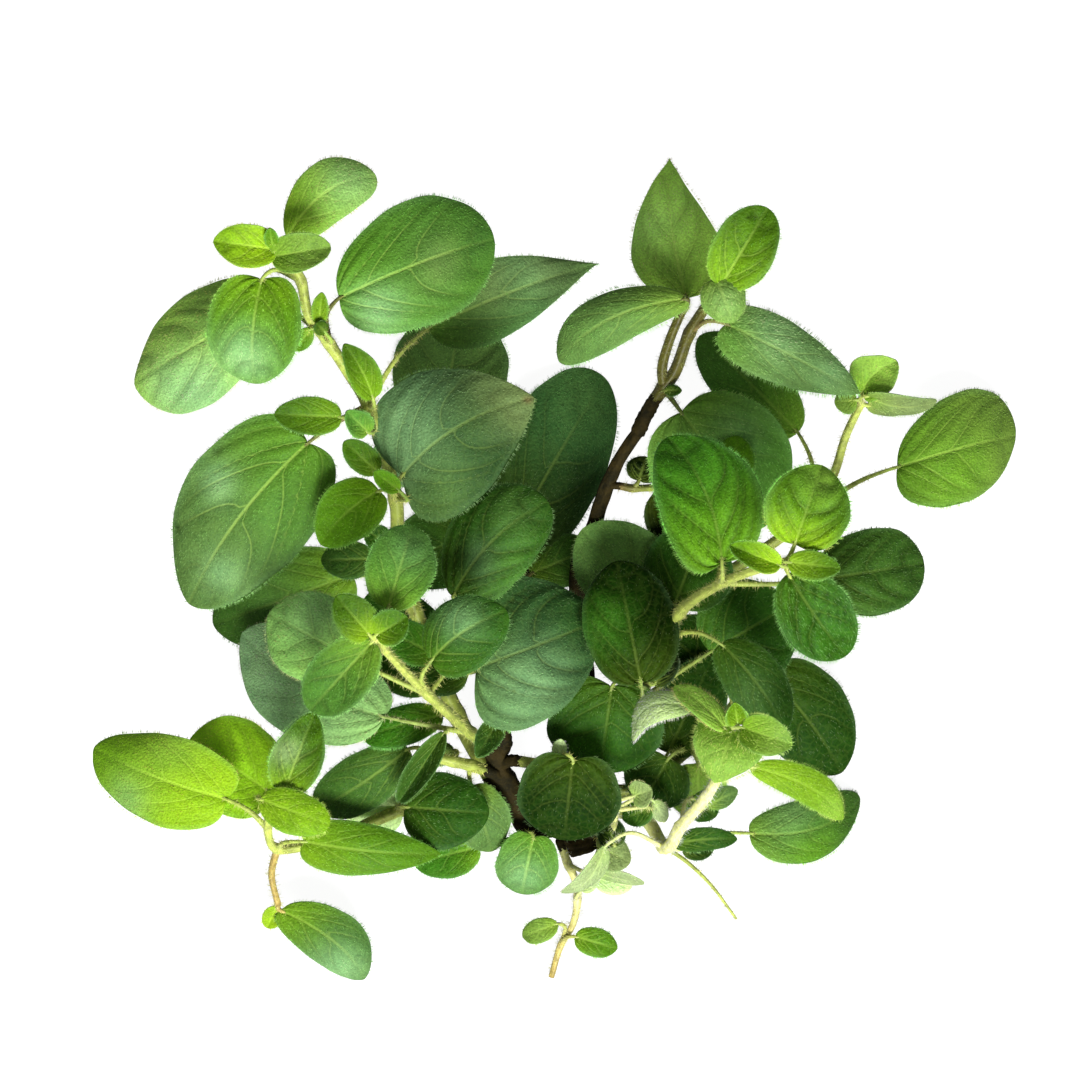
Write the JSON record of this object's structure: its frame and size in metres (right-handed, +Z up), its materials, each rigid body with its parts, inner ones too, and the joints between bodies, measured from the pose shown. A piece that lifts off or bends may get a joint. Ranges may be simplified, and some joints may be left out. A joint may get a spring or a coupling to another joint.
{
  "type": "oregano plant",
  "caption": "Cut oregano plant lying flat: woody rootstock with leafy green shoots whose oval, hairy leaves grow in opposite pairs.",
  "frame": {"origin": "on the surface that the plant lies on, under the middle of its bounding box", "axes": "+Z up from the surface; +Y from the cut stem end towards the tips of the longest shoots; +X to the right of +Y, seen from above, along the plant's widest spread"},
  "size_m": [0.1553, 0.1383, 0.0609],
  "materials": {
    "leafy_shoot": "hairy, matt, with a faint silvery sheen",
    "woody_stem": "rough bark"
  },
  "bodies": {
    "root": {"woody_base": "woody_stem", "shoot_centre_left": "leafy_shoot", "shoot_centre": "leafy_shoot", "shoot_upper_left": "leafy_shoot", "shoot_low_back": "leafy_shoot", "shoot_limb_leaf": "leafy_shoot", "shoot_upper_right": "leafy_shoot", "shoot_far_right": "leafy_shoot", "shoot_right": "leafy_shoot", "shoot_lower_right": "leafy_shoot", "shoot_right_low": "leafy_shoot", "shoot_lower_left": "leafy_shoot", "shoot_front": "leafy_shoot", "shoot_crown": "leafy_shoot", "shoot_front_left": "leafy_shoot", "shoot_front_centre": "leafy_shoot", "shoot_front_low": "leafy_shoot"}
  },
  "joints": []
}
